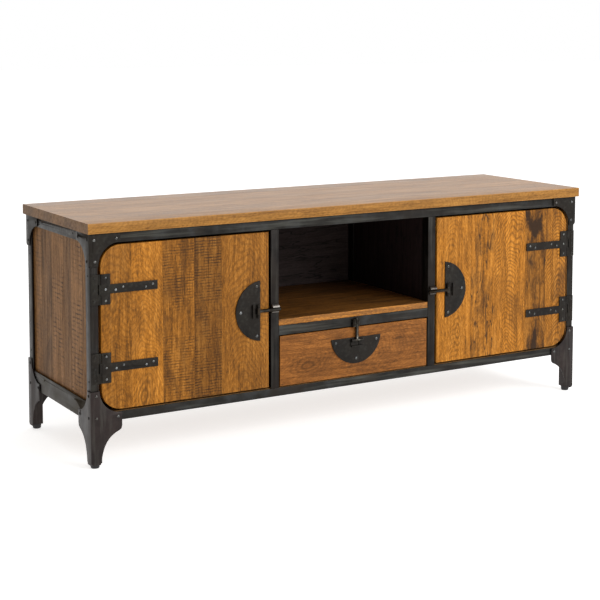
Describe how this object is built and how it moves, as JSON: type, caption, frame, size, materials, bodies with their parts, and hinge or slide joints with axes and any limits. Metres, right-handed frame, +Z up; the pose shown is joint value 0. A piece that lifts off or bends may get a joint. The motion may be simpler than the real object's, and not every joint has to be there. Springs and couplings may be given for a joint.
{
  "type": "tv stand with doors",
  "caption": "Low wooden TV stand in a riveted angle-iron frame, with rounded strap-hinged doors each side of an open shelf bay over a drawer, each shut by a half-moon hasp latch.",
  "frame": {"origin": "on the floor under the centre of the stand (centre of the bounding box's bottom face)", "axes": "+X to the viewer's right along the length, -Y out of the front with the doors, +Z up"},
  "size_m": [1.5, 0.446, 0.59],
  "materials": {
    "wood_top": "satin waxed mango wood, paler with wear",
    "wood_front": "satin honey-brown mango wood",
    "wood_side": "dull grey-brown mango wood",
    "wood_shelf": "satin brown mango wood",
    "wood_inner": "unfinished brown wood",
    "board_dark": "matt near-black painted board",
    "iron_frame": "worn gunmetal lacquer on rolled angle iron",
    "iron_plate": "blackened satin sheet iron",
    "glide_black": "matt black"
  },
  "bodies": {
    "cabinet": {"top_board": "wood_top", "side_panel_left": "wood_side", "side_panel_right": "wood_side", "shelf": "wood_shelf", "floor_board": "wood_inner", "back_panel": "board_dark", "partition_left": "board_dark", "partition_right": "board_dark", "drawer_guide_left": "wood_inner", "drawer_guide_right": "wood_inner", "top_frame": "iron_frame", "post_front_left": "iron_frame", "post_front_right": "iron_frame", "post_back_left": "iron_frame", "post_back_right": "iron_frame", "sill_front": "iron_frame", "sill_back": "iron_frame", "sill_left": "iron_frame", "sill_right": "iron_frame", "upright_front_left": "iron_frame", "upright_front_right": "iron_frame", "upright_back_left": "iron_frame", "upright_back_right": "iron_frame", "mid_rail": "iron_frame", "gusset_front_left": "iron_plate", "gusset_front_right": "iron_plate", "gusset_back_left": "iron_plate", "gusset_back_right": "iron_plate", "leg_front_left": "iron_plate", "leg_front_right": "iron_plate", "leg_back_left": "iron_plate", "leg_back_right": "iron_plate", "foot_front_left": "glide_black", "foot_front_right": "glide_black", "foot_back_left": "glide_black", "foot_back_right": "glide_black", "hinge_left_upper_leaf": "iron_plate", "hinge_left_lower_leaf": "iron_plate", "hinge_right_upper_leaf": "iron_plate", "hinge_right_lower_leaf": "iron_plate", "latch_left_keeper": "iron_plate", "latch_right_keeper": "iron_plate", "latch_drawer_keeper": "iron_plate"},
    "left_door": {"door_left": "wood_front", "hinge_left_upper_strap": "iron_plate", "hinge_left_lower_strap": "iron_plate", "latch_left_plate": "iron_plate"},
    "right_door": {"door_right": "wood_front", "hinge_right_upper_strap": "iron_plate", "hinge_right_lower_strap": "iron_plate", "latch_right_plate": "iron_plate"},
    "drawer": {"drawer_front": "wood_front", "drawer_side_left": "wood_inner", "drawer_side_right": "wood_inner", "drawer_back": "wood_inner", "drawer_bottom": "wood_inner", "latch_drawer_plate": "iron_plate"},
    "left_latch_arm": {"latch_left_arm": "iron_plate"},
    "right_latch_arm": {"latch_right_arm": "iron_plate"},
    "drawer_latch_arm": {"latch_drawer_arm": "iron_plate"}
  },
  "joints": [
    {"name": "left_door_hinge", "type": "hinge", "parent": "cabinet", "child": "left_door", "pos_m": [-0.7185, -0.2115, 0.336], "axis": [0, 0, 1], "range_deg": [-110, 0]},
    {"name": "right_door_hinge", "type": "hinge", "parent": "cabinet", "child": "right_door", "pos_m": [0.7185, -0.2115, 0.336], "axis": [0, 0, 1], "range_deg": [0, 110]},
    {"name": "drawer_slide", "type": "slide", "parent": "cabinet", "child": "drawer", "axis": [0, -1, 0], "range_m": [0, 0.26]},
    {"name": "left_latch_pivot", "type": "hinge", "parent": "left_door", "child": "left_latch_arm", "pos_m": [-0.294, -0.2185, 0.337], "axis": [0, 0, 1], "range_deg": [-110, 0]},
    {"name": "right_latch_pivot", "type": "hinge", "parent": "right_door", "child": "right_latch_arm", "pos_m": [0.294, -0.2185, 0.337], "axis": [0, 0, 1], "range_deg": [0, 110]},
    {"name": "drawer_latch_pivot", "type": "hinge", "parent": "drawer", "child": "drawer_latch_arm", "pos_m": [0, -0.2185, 0.231], "axis": [1, 0, 0], "range_deg": [0, 110]}
  ]
}
